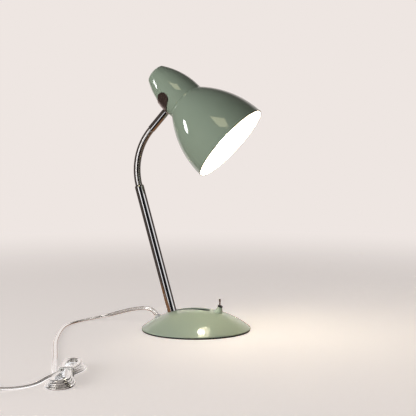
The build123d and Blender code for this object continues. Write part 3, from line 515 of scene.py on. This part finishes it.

# %% [markdown]
# ## The gooseneck's wound sleeve
#
# A real gooseneck is wound from steel strip, so it looks like one tube with fine shallow grooves.
# The construction model stands in for it with nine short links. The sleeve is drawn here as one
# grooved tube along the neck's arc, and cut near the middle of each link, so that each cut piece
# crosses one joint.

# %% The neck's arc
ARM_LEAN = math.radians(15.56)
ARM_LENGTH = 204.0
ARM_PIVOT = Vector((-33.8, 0.0, 13.0))
NECK_BEND_R = 90.0
NECK_TURN = math.radians(57.0)
LINKS = 9
RIBS = 30
RIBS_PER_LINK = 3
RIBS_BEFORE_JOINT = 2
RIB_PITCH = NECK_BEND_R * NECK_TURN / RIBS
arm_way = Vector((-math.sin(ARM_LEAN), 0, math.cos(ARM_LEAN)))
arm_front = Vector((math.cos(ARM_LEAN), 0, math.sin(ARM_LEAN)))
arm_end = ARM_PIVOT + arm_way * ARM_LENGTH
joint_stations = [RIB_PITCH * (RIBS_BEFORE_JOINT + RIBS_PER_LINK * k) for k in range(LINKS + 1)]
print("joints along the neck at", [round(station, 1) for station in joint_stations], "mm")


def neck_frame(station):
    """Centre, way along and way forward of the neck at a length along it, in mm."""
    phi = station / NECK_BEND_R
    centre = arm_end + arm_front * NECK_BEND_R * (1 - math.cos(phi))
    centre = centre + arm_way * NECK_BEND_R * math.sin(phi)
    forward = arm_front * math.cos(phi) - arm_way * math.sin(phi)
    return centre, forward


# %% The sleeve's pieces
WOUND_R = 5.32
# three turns of the strip take the place of two of the model's ribs
WINDING = RIB_PITCH * 2 / 3
NECK_SIDES = 48
# one turn of the strip: how far along the turn, and how far below its face
TURN_PROFILE = [
    (0.0, 0.30),
    (0.06, 0.30),
    (0.09, 0.05),
    (0.14, 0.0),
    (0.86, 0.0),
    (0.91, 0.05),
    (0.94, 0.30),
]
# the rounded step from the arm down to the sleeve, as (station, radius) rings
SHOULDER = [(0.15, 6.75), (0.7, 6.6), (1.3, 6.1), (1.8, 5.6)]
RING_MARGIN = 0.05
SHOULDER_MARGIN = 0.1


def wound_rings(low, high):
    """Flat-topped turns with narrow slits between them, as (station, radius) pairs."""
    rings = [(low, WOUND_R)]
    for turn in range(int(low / WINDING), int(high / WINDING) + 1):
        for share, depth in TURN_PROFILE:
            station = (turn + share) * WINDING
            if low + RING_MARGIN < station < high - RING_MARGIN:
                rings.append((station, WOUND_R - depth))
    return rings + [(high, WOUND_R)]


def neck_tube(stations):
    """An open tube round the neck's arc through (station, radius) rings."""
    points, faces = [], []
    for station, radius in stations:
        centre, forward = neck_frame(station)
        for k in range(NECK_SIDES):
            a = math.tau * k / NECK_SIDES
            out = forward * math.cos(a) + Vector((0, 1, 0)) * math.sin(a)
            points.append((centre + out * radius) * MM)
    for ring in range(len(stations) - 1):
        for k in range(NECK_SIDES):
            nxt = (k + 1) % NECK_SIDES
            a, b = ring * NECK_SIDES, (ring + 1) * NECK_SIDES
            faces.append((a + k, b + k, b + nxt, a + nxt))
    return points, faces


# a cut falls in the middle of the flat face of a turn
neck_length = RIB_PITCH * RIBS
cuts = [SHOULDER[-1][0] + SHOULDER_MARGIN]
for before, after in zip(joint_stations, joint_stations[1:]):
    cuts.append((int((before + after) / 2 / WINDING) + 0.5) * WINDING)
cuts.append(neck_length)
sleeves = []
for number, station in enumerate(joint_stations):
    rings = wound_rings(cuts[number], cuts[number + 1])
    if number == 0:
        rings = SHOULDER + rings
    sleeve = make_mesh(f"neck_sleeve_{number + 1}", [(*neck_tube(rings), 0)], sharp_over=30)
    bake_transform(sleeve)
    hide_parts(f"neck_link_{number}" if number else "neck_coupling")
    sleeves.append(sleeve)
print("sleeve pieces", len(sleeves))

# %% [markdown]
# ## Finishes
#
# Stoved enamel is a smooth coloured coat with a faint orange peel. Its colour drifts very slightly
# from thick to thin places, so each coat runs between two close colours. The white inside and the
# turned edge of the shade are made the same way, and are less glossy; the turned edge's dark brown
# is painted shade. The base and the switch's collar carry the shade's paint, but their coat is made
# lighter and yellower: painted light that stands for the bulb's warm light falling on them.

# %% Enamel
# how far the roughness drifts to either side of its given value
POLISHED = 0.8
DULLED = 1.3


def enamel(name, thin, thick, roughness=0.035):
    """Glossy stoved enamel between two close colours."""
    material, tree, shader = finish(name, thick, Roughness=roughness, IOR=1.5)
    drift = noise_between(tree, scale=14, low=0, high=1, detail=4)
    tree.links.new(mixed_color(tree, drift, thin, thick), shader.inputs["Base Color"])
    low, high = roughness * POLISHED, roughness * DULLED
    polish = noise_between(tree, scale=60, low=low, high=high, detail=5)
    tree.links.new(polish, shader.inputs["Roughness"])
    peel = noise_between(tree, scale=260, low=0, high=1, detail=1)
    bump_from(tree, shader, peel, distance=0.000004, strength=0.1)
    return material


shade_green = enamel("sage enamel", (0.256, 0.320, 0.246), (0.276, 0.342, 0.268))
# painted light: the base's coat is a lighter, yellower copy of the shade's green, for the bulb's
# warm light on it
base_green_painted_lit = enamel("base enamel, painted lit", (0.385, 0.455, 0.355), (0.405, 0.478, 0.375))
# painted shade: a dark brown for the outer half of the shade's turned edge, its shadow side
rim_painted_shade = enamel("rim edge, painted shade", (0.10, 0.075, 0.05), (0.14, 0.105, 0.075), roughness=0.2)
inner_white = enamel("white enamel", (0.80, 0.79, 0.75), (0.84, 0.83, 0.80), roughness=0.25)
shade.data.materials.append(shade_green)
shade.data.materials.append(inner_white)
shade.data.materials.append(rim_painted_shade)
wear(["rear_cap"], shade_green)
# the base and the collar wear the lighter copy of the shade's paint, which is painted light
wear(["base_dome", "switch_collar"], base_green_painted_lit)
print("enamels on the shade:", [slot.name for slot in shade.data.materials])

# %% [markdown]
# Chrome is a mirror, so nearly all its look comes from what stands round it. Its own surface adds
# only a slight wave and a haze of fine polishing marks. The duller chrome of the saddle, the zinc
# plating, brass, cast iron and tinned strands come from the same function, with more roughness,
# and most of them with a deeper grain. The plating, brass, iron and strands have colours of their
# own; the saddle's pinkish brown is a painted reflection of a brown room on its brushed chrome.

# %% Chrome and other metals
DARKER = 0.88


def metal(name, color, low, high, scale=90, stretch=(1, 1, 1), depth=0.000004):
    """Bare or plated metal whose polish varies between two roughness values."""
    material, tree, shader = finish(name, color, Metallic=1.0)
    polish = noise_between(tree, scale, low, high, detail=5, stretch=stretch)
    tree.links.new(polish, shader.inputs["Roughness"])
    dark = tuple(c * DARKER for c in color)
    cloud = noise_between(tree, scale * 0.4, low=0, high=1, detail=4)
    tree.links.new(mixed_color(tree, cloud, dark, color), shader.inputs["Base Color"])
    grain = noise_between(tree, scale * 6, low=0, high=1, detail=2, stretch=stretch)
    bump_from(tree, shader, grain, depth, strength=0.4)
    return material


chrome = metal("chrome", (0.80, 0.79, 0.80), 0.03, 0.07)
neck_chrome = metal("neck chrome", (0.78, 0.76, 0.76), 0.05, 0.10, scale=200)
plated = metal("zinc plating", (0.62, 0.61, 0.58), 0.25, 0.45, scale=120, depth=0.00002)
brass = metal("brass", (0.75, 0.56, 0.25), 0.18, 0.35, scale=120, depth=0.00001)
cast_iron = metal("cast ballast", (0.20, 0.20, 0.21), 0.5, 0.8, scale=160, depth=0.0001)
strand_metal = metal("tinned strands", (0.50, 0.48, 0.46), 0.18, 0.3, scale=500, depth=0.00004)
# painted reflection: the pinkish brown tint stands for a brown room mirrored in the saddle's brushed
# chrome
saddle_painted_reflection = metal(
    "saddle chrome, painted reflection", (0.55, 0.44, 0.42), 0.22, 0.42, scale=400, stretch=(1, 1, 0.08)
)
wear(["arm_tube", "neck_ferrule", "switch_bushing"], chrome)
# the saddle's tint is a painted reflection
wear(["saddle"], saddle_painted_reflection)
for sleeve in sleeves:
    sleeve.data.materials.append(neck_chrome)
wear(["arm_knuckle", "base_plate", "dome_screws", "weight_screws", "bracket_screws"], plated)
wear(["pivot_bracket", "pivot_washers", "pivot_bolt", "pivot_nut", "block_screws"], plated)
wear(["nipple", "nipple_washer", "nipple_nut", "bulb_cap"], plated)
wear(["holder_bracket", "holder_nipple", "holder_nut"], plated)
wear(["screw_shell", "holder_contact", "bulb_contact", "switch_terminals", "plug_pins"], brass)
wear(["base_weight"], cast_iron)
print("sleeve pieces in", neck_chrome.name + ":", len(sleeves))

# %% [markdown]
# The toggle's lever is a duller metal, tinted pinkish brown as a painted reflection of the room,
# and its ring nut is blackened. The pad under the base is soft black rubber. Rubber and plastic
# both come out of a mould, so one function gives them all a fine moulded grain, and they differ
# in colour and gloss.

# %% Rubber and plastics
PALER = 1.15
PALER_BY = 0.004


def moulded(name, color, low, high, grain=700, depth=0.00003, **sockets):
    """Moulded plastic or rubber with a fine grain and a slight change of shade."""
    material, tree, shader = finish(name, color, **sockets)
    pale = tuple(min(1.0, c * PALER + PALER_BY) for c in color)
    cloud = noise_between(tree, scale=45, low=0, high=1, detail=3)
    tree.links.new(mixed_color(tree, cloud, color, pale), shader.inputs["Base Color"])
    polish = noise_between(tree, scale=80, low=low, high=high, detail=3)
    tree.links.new(polish, shader.inputs["Roughness"])
    texture = noise_between(tree, grain, low=0, high=1, detail=2)
    bump_from(tree, shader, texture, depth, strength=0.6)
    return material


# painted reflection: the lever's pinkish brown tint stands for the room mirrored in it
lever_painted_reflection = metal("lever metal, painted reflection", (0.42, 0.34, 0.33), 0.18, 0.3, scale=300)
black_nut = metal("blackened steel", (0.03, 0.03, 0.032), 0.25, 0.4, scale=300)
rubber = moulded("pad rubber", (0.012, 0.012, 0.013), 0.55, 0.8)
dark_plastic = moulded("dark plastic", (0.03, 0.03, 0.032), 0.3, 0.5)
core_plastic = moulded("core insulation", (0.22, 0.10, 0.05), 0.3, 0.45)
tie_plastic = moulded("tie plastic", (0.72, 0.72, 0.70), 0.35, 0.5)
# the lever's tint is a painted reflection
wear(["switch_lever"], lever_painted_reflection)
wear(["switch_nut"], black_nut)
wear(["base_pad"], rubber)
wear(["switch_body", "terminal_block", "holder_body", "shade_ring"], dark_plastic)
wear(["base_leads", "holder_leads"], core_plastic)
wear(["hank_tie"], tie_plastic)
print("moulded finishes:", rubber.name, dark_plastic.name, core_plastic.name, tie_plastic.name)

# %% [markdown]
# The lead, its sleeve, its bush and the plug are clear plastic. Light has to pass into it and reach
# the metal inside, so these finishes transmit light and bend it as soft plastic does. A see-through
# finish without that bending would look like thin film.

# %% Clear plastic
clear_sleeve = moulded(
    "clear sleeve", (0.90, 0.89, 0.87), 0.06, 0.14, Transmission_Weight=0.97, IOR=1.42
)
clear_plug = moulded(
    "clear moulding", (0.86, 0.87, 0.87), 0.12, 0.25, Transmission_Weight=0.7, IOR=1.47
)
lead.data.materials.append(clear_sleeve)
lead.data.materials.append(strand_metal)
relief.data.materials.append(clear_sleeve)
wear(["plug_body", "cord_grommet"], clear_plug)
print("clear finishes:", clear_sleeve.name, clear_plug.name)

# %% [markdown]
# ## The bulb
#
# The lamp is lit. The bulb's glass glows, and its warm light whitens the inside of the shade and
# falls on the base below. A glowing surface is used and no point light, because the glass itself is
# seen in the mirrors round it.

# %% Lit bulb
BULB_STRENGTH = 31.0
bulb_glow, glow_tree, glow_shader = finish(
    "lit glass", (0.9, 0.88, 0.84), Roughness=0.3, Emission_Strength=BULB_STRENGTH
)
glow_drift = noise_between(glow_tree, scale=30, low=0, high=1)
glow_color = mixed_color(glow_tree, glow_drift, (1.0, 0.90, 0.70), (1.0, 0.92, 0.74))
glow_tree.links.new(glow_color, glow_shader.inputs["Emission Color"])
wear(["bulb_glass"], bulb_glow)
print("bulb strength", BULB_STRENGTH)

# %% [markdown]
# ## The studio
#
# The floor is plain and pale, and fades into the same pale surround. The lamp's gloss mirrors a
# room: a pale wall behind, a dim ceiling, a dark front with a darker middle, a pale window on the
# right, and a bright yellowish one high in front. These are painted on the surround by direction,
# and only mirrored rays see them, so they light nothing else. A panorama of a real room could be
# used in the same way, but a few flat patches are easier to place.

# %% Directions in the surround
SURROUND = (0.855, 0.791, 0.760)


def maths(tree, operation, *values):
    """A Math node's result; each value may be another node's output."""
    node = add_node(tree, "ShaderNodeMath", {"operation": operation})
    for socket, value in zip(node.inputs, values):
        set_or_link(tree, socket, value)
    return node.outputs[0]


def direction_of(tree, vector):
    """(azimuth, elevation, 1) in degrees of a direction; azimuth 0 looks along -Y."""
    split = add_node(tree, "ShaderNodeSeparateXYZ", Vector=vector)
    backward = maths(tree, "MULTIPLY", split.outputs["Y"], -1)
    around = maths(tree, "ARCTAN2", split.outputs["X"], backward)
    upward = maths(tree, "ARCSINE", split.outputs["Z"])
    azimuth, elevation = (maths(tree, "DEGREES", angle) for angle in (around, upward))
    joined = add_node(tree, "ShaderNodeCombineXYZ", X=azimuth, Y=elevation, Z=1.0)
    return joined.outputs["Vector"]


def soft_step(tree, value, start, end, low=0.0, high=1.0):
    """A smooth change from low to high while a value goes from start to end."""
    step = add_node(
        tree, "ShaderNodeMapRange", {"interpolation_type": "SMOOTHSTEP"}, Value=value
    )
    step.inputs["From Min"].default_value = start
    step.inputs["From Max"].default_value = end
    step.inputs["To Min"].default_value = low
    step.inputs["To Max"].default_value = high
    return step.outputs["Result"]


def patch(tree, place, corners, soft):
    """1 inside a convex patch of (azimuth, elevation) corners and 0 outside, with a soft edge."""
    inside = None
    middle = [sum(c[k] for c in corners) / len(corners) for k in (0, 1)]
    for (x1, y1), (x2, y2) in zip(corners, corners[1:] + corners[:1]):
        along = math.hypot(x2 - x1, y2 - y1)
        a, b = (y1 - y2) / along, (x2 - x1) / along
        c = -(a * x1 + b * y1)
        if a * middle[0] + b * middle[1] + c < 0:
            a, b, c = -a, -b, -c
        depth = add_node(tree, "ShaderNodeVectorMath", {"operation": "DOT_PRODUCT"})
        tree.links.new(place, depth.inputs[0])
        depth.inputs[1].default_value = (a, b, c)
        edge = soft_step(tree, depth.outputs["Value"], -soft, soft)
        inside = edge if inside is None else maths(tree, "MULTIPLY", inside, edge)
    return inside


def upright(left, right, low, high):
    """The corners of a patch with level and upright edges."""
    return [(left, low), (right, low), (right, high), (left, high)]


print("the surround's colour", SURROUND)

# %% What the gloss mirrors
# each patch: corners, soft edge in degrees, colour
ceiling = (upright(-400, 400, 30, 200), 8, (0.15, 0.135, 0.12))
dark_front = (upright(-124, 160, -200, 200), 5, (0.075, 0.060, 0.052))
darker_middle = (upright(-5, 56, -200, 200), 3, (0.012, 0.012, 0.013))
pale_window = (upright(62, 92, 4, 27), 3, (0.95, 0.95, 0.95))
yellow_window = ([(-24, 48), (11, 57), (15, 42), (-6, 34)], 1.0, (4.2, 3.9, 2.5))
room = [ceiling, dark_front, darker_middle, pale_window, yellow_window]


def room_color(tree, place, base_color, patches):
    """The room's colour in a direction: a base colour with each patch laid over it."""
    color = base_color
    for corners, soft, tint in patches:
        color = mixed_color(tree, patch(tree, place, corners, soft), color, tint)
    return color


print("patches in the mirrored room:", len(room))

# %% [markdown]
# What the surround shows depends on the ray. The camera, and rays that pass through clear plastic,
# see the plain pale colour. Mirrored rays see the painted room. All other rays get the even light
# that fills the shadows: it is full near the floor's level and fades to nothing overhead, so that
# the sides of the lamp get more of it than the tops.

# %% The surround
AMBIENT_LOW = 0.50
AMBIENT_HIGH = 0.0
FADE_FROM = 0.1
FADE_TO = 0.75
AMBIENT_COLOR = (1.0, 0.97, 0.94)


def shader_mix(tree, factor, usual, special):
    """Two shaders in one: the special one shows where the factor is 1."""
    mix = add_node(tree, "ShaderNodeMixShader")
    for socket, source in zip(mix.inputs, (factor, usual, special)):
        tree.links.new(source, socket)
    return mix.outputs[0]


def seen_directly(tree, ray):
    """1 for the camera's rays and for rays through clear plastic."""
    return maths(tree, "MAXIMUM", ray.outputs["Is Camera Ray"], ray.outputs["Is Transmission Ray"])


world = bpy.data.worlds.new("surround")
world.use_nodes = True
bpy.context.scene.world = world
sky = world.node_tree
sky.nodes.clear()
sky_place = add_node(sky, "ShaderNodeTexCoord")
mirrored = room_color(sky, direction_of(sky, sky_place.outputs["Generated"]), SURROUND, room)
ray = add_node(sky, "ShaderNodeLightPath")
height = add_node(sky, "ShaderNodeSeparateXYZ", Vector=sky_place.outputs["Generated"])
level = soft_step(sky, height.outputs["Z"], FADE_FROM, FADE_TO, AMBIENT_LOW, AMBIENT_HIGH)
plain = add_node(sky, "ShaderNodeBackground", Color=(*AMBIENT_COLOR, 1), Strength=level)
seen = add_node(sky, "ShaderNodeBackground", Color=(*SURROUND, 1), Strength=1.0)
shine = add_node(sky, "ShaderNodeBackground", Color=mirrored, Strength=1.0)
lit = shader_mix(sky, ray.outputs["Is Glossy Ray"], plain.outputs[0], shine.outputs[0])
whole = shader_mix(sky, seen_directly(sky, ray), lit, seen.outputs[0])
out = add_node(sky, "ShaderNodeOutputWorld")
sky.links.new(whole, out.inputs["Surface"])
print("even light at floor level:", AMBIENT_LOW)

# %% [markdown]
# The floor is a large disc. Near the lamp it is a real pale surface that takes the lamp's shadow
# and the bulb's light, and it glows a little so that it reads pale. Further out it fades to the
# plain surround. Mirrored rays see a warm table close by, and beyond it the dark front of the room
# with the strip of light that a window throws. All other rays meet a warm brown, as a wooden table
# would send it up to the underside of the lamp.

# %% Floor
FLOOR_R = 3.0
FLOOR_SIDES = 96
FLOOR_GLOW = 0.60
FLOOR_SHEEN = 0.1
FADES_FROM = 0.55
FADES_TO = 1.5
floor_mesh = bpy.data.meshes.new("floor")
ring = [math.tau * k / FLOOR_SIDES for k in range(FLOOR_SIDES)]
rim = [(FLOOR_R * math.cos(a), FLOOR_R * math.sin(a), 0) for a in ring]
floor_mesh.from_pydata(rim, [], [tuple(range(FLOOR_SIDES))])
floor = bpy.data.objects.new("floor", floor_mesh)
bpy.context.collection.objects.link(floor)
floor_finish, floor_tree, floor_shader = finish("pale floor", (0.80, 0.74, 0.71), Roughness=0.9)
floor_shader.inputs["Specular IOR Level"].default_value = FLOOR_SHEEN
floor_shader.inputs["Emission Color"].default_value = (*SURROUND, 1)
floor_shader.inputs["Emission Strength"].default_value = FLOOR_GLOW
spot = add_node(floor_tree, "ShaderNodeTexCoord").outputs["Object"]
reach = add_node(floor_tree, "ShaderNodeVectorMath", {"operation": "LENGTH"}, Vector=spot)
away = reach.outputs["Value"]
far = soft_step(floor_tree, away, FADES_FROM, FADES_TO)
seen_floor = add_node(floor_tree, "ShaderNodeEmission", Color=(*SURROUND, 1), Strength=1.0)
fade = shader_mix(floor_tree, far, floor_shader.outputs[0], seen_floor.outputs[0])
floor_mesh.materials.append(floor_finish)
print("floor radius", FLOOR_R, "m")

# %% What the floor shows to other rays
TABLE_FROM = 0.22
TABLE_TO = 0.30
TABLE_MIRRORED = (0.22, 0.11, 0.055)
TABLE_BOUNCE = (0.45, 0.33, 0.24)
low_window = (upright(-22, -7, -12, 3), 1.5, (1.3, 1.3, 1.33))
low_place = direction_of(floor_tree, spot)
low_color = room_color(floor_tree, low_place, SURROUND, [dark_front, darker_middle, low_window])
beyond = soft_step(floor_tree, away, TABLE_FROM, TABLE_TO)
table_color = mixed_color(floor_tree, beyond, TABLE_MIRRORED, low_color)
mirrored_floor = add_node(floor_tree, "ShaderNodeEmission", Color=table_color, Strength=1.0)
warm_floor = add_node(floor_tree, "ShaderNodeBsdfDiffuse", Color=(*TABLE_BOUNCE, 1))
floor_ray = add_node(floor_tree, "ShaderNodeLightPath")
by_gloss = shader_mix(
    floor_tree, floor_ray.outputs["Is Glossy Ray"], warm_floor.outputs[0], mirrored_floor.outputs[0]
)
by_camera = shader_mix(floor_tree, seen_directly(floor_tree, floor_ray), by_gloss, fade)
floor_tree.links.new(by_camera, floor_tree.nodes["Material Output"].inputs["Surface"])
print("the mirrored table ends at", TABLE_FROM, "to", TABLE_TO, "m")

# %% [markdown]
# One large soft light stands low at the front left, where a window would be. It is not mirrored
# itself, because windows of their own give the highlights, and each can then be placed by itself.

# %% Key light
AIM_HEIGHT = 0.2


def soft_light(name, azimuth, elevation, distance, wide, high, power, shape="RECTANGLE"):
    """A soft light of a shape and size that faces the lamp from a direction in degrees."""
    data = bpy.data.lights.new(name, "AREA")
    data.shape = shape
    data.size = wide
    data.size_y = high
    data.energy = power
    light = bpy.data.objects.new(name, data)
    a, e = math.radians(azimuth), math.radians(elevation)
    outward = Vector((math.sin(a) * math.cos(e), -math.cos(a) * math.cos(e), math.sin(e)))
    light.location = Vector((0, 0, AIM_HEIGHT)) + outward * distance
    light.rotation_mode = "QUATERNION"
    light.rotation_quaternion = outward.to_track_quat("Z", "Y")
    light.visible_glossy = False
    light.visible_camera = False
    bpy.context.collection.objects.link(light)
    return light


key = soft_light("key", azimuth=-28, elevation=3, distance=2.2, wide=2.6, high=1.0, power=50)
print("key light", key.data.energy, "W")

# %% [markdown]
# Three windows are lights far away that are only mirrored. Each is linked to the pieces that show
# it: an oval one to the enamel, and a tall one each to the arm and to the neck, where it draws a
# long white line. Linked lights put a highlight on one piece and leave the others as they are,
# which a painted patch cannot do.

# %% Mirrored windows
WINDOW_AWAY = 8.0


def mirrored_window(name, pieces, azimuth, elevation, size, radiance, shape="RECTANGLE"):
    """A far light that only the given pieces mirror; its size is (wide, high) in degrees."""
    wide, high = (2 * WINDOW_AWAY * math.tan(math.radians(angle / 2)) for angle in size)
    power = radiance * math.pi * wide * high
    light = soft_light(name, azimuth, elevation, WINDOW_AWAY, wide, high, power, shape)
    light.visible_glossy = True
    light.visible_diffuse = False
    light.visible_transmission = False
    receivers = bpy.data.collections.new(name + " receivers")
    for piece in pieces:
        receivers.objects.link(piece)
    light.light_linking.receiver_collection = receivers


enamelled = [shade] + [nodes[name] for name in ("rear_cap", "base_dome", "switch_collar")]
mirrored_window(
    "oval window", enamelled, azimuth=-77.5, elevation=4, size=(9, 16), radiance=16, shape="ELLIPSE"
)
mirrored_window(
    "tall window", [nodes["arm_tube"]], azimuth=-15, elevation=8, size=(16, 28), radiance=1.6
)
mirrored_window("neck window", sleeves, azimuth=-18, elevation=8, size=(32, 36), radiance=2.0)
print("enamelled pieces", len(enamelled), "and neck pieces", len(sleeves))
